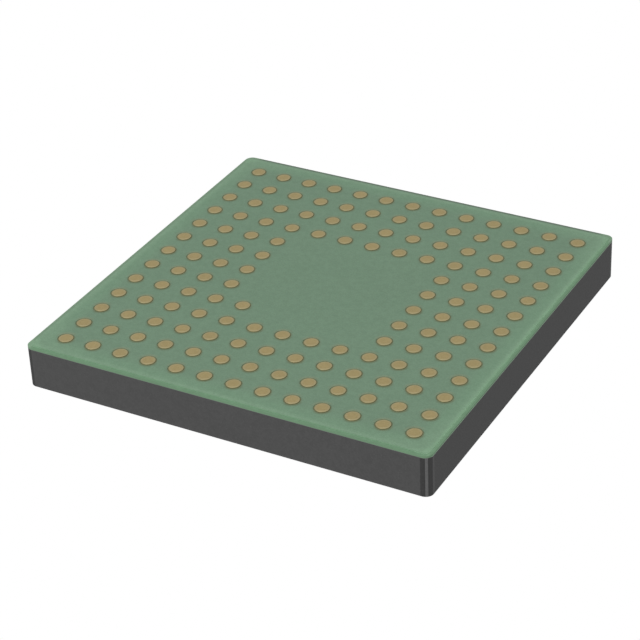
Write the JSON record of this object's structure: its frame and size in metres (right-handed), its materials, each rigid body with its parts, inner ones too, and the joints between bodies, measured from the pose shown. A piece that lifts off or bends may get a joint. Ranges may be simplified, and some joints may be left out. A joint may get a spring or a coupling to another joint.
{
  "type": "microcontroller in a land grid array package",
  "caption": "Square leadless chip package with a grid of flat gold lands on a green laminate, a black moulded body, and a die, bond wires and bond fingers inside.",
  "frame": {"origin": "middle of the moulded face, on which the package lies", "axes": "+Z out of the land side, square to it; X and Y along the sides, with land A1 in the corner at low X and low Y"},
  "size_m": [0.009, 0.009, 0.0009],
  "materials": {
    "mould_compound": "matte",
    "laminate": "satin",
    "solder_mask": "satin",
    "gold_plate": "satin",
    "bond_wire": "polished",
    "silicon": "polished",
    "attach_film": "matte"
  },
  "bodies": {
    "root": {"mould_cap": "mould_compound", "laminate_core": "laminate", "land_side_mask": "solder_mask", "die_side_mask": "solder_mask", "die": "silicon", "die_attach_film": "attach_film", "key_land": "gold_plate", "land_row_a": "gold_plate", "land_row_b": "gold_plate", "land_row_c": "gold_plate", "land_row_d": "gold_plate", "land_row_e": "gold_plate", "land_row_f": "gold_plate", "land_row_g": "gold_plate", "land_row_h": "gold_plate", "land_row_j": "gold_plate", "land_row_k": "gold_plate", "land_row_l": "gold_plate", "land_row_m": "gold_plate", "land_row_n": "gold_plate", "bond_fingers_front": "gold_plate", "bond_wires_front": "bond_wire", "bond_fingers_right": "gold_plate", "bond_wires_right": "bond_wire", "bond_fingers_back": "gold_plate", "bond_wires_back": "bond_wire", "bond_fingers_left": "gold_plate", "bond_wires_left": "bond_wire"}
  },
  "joints": []
}
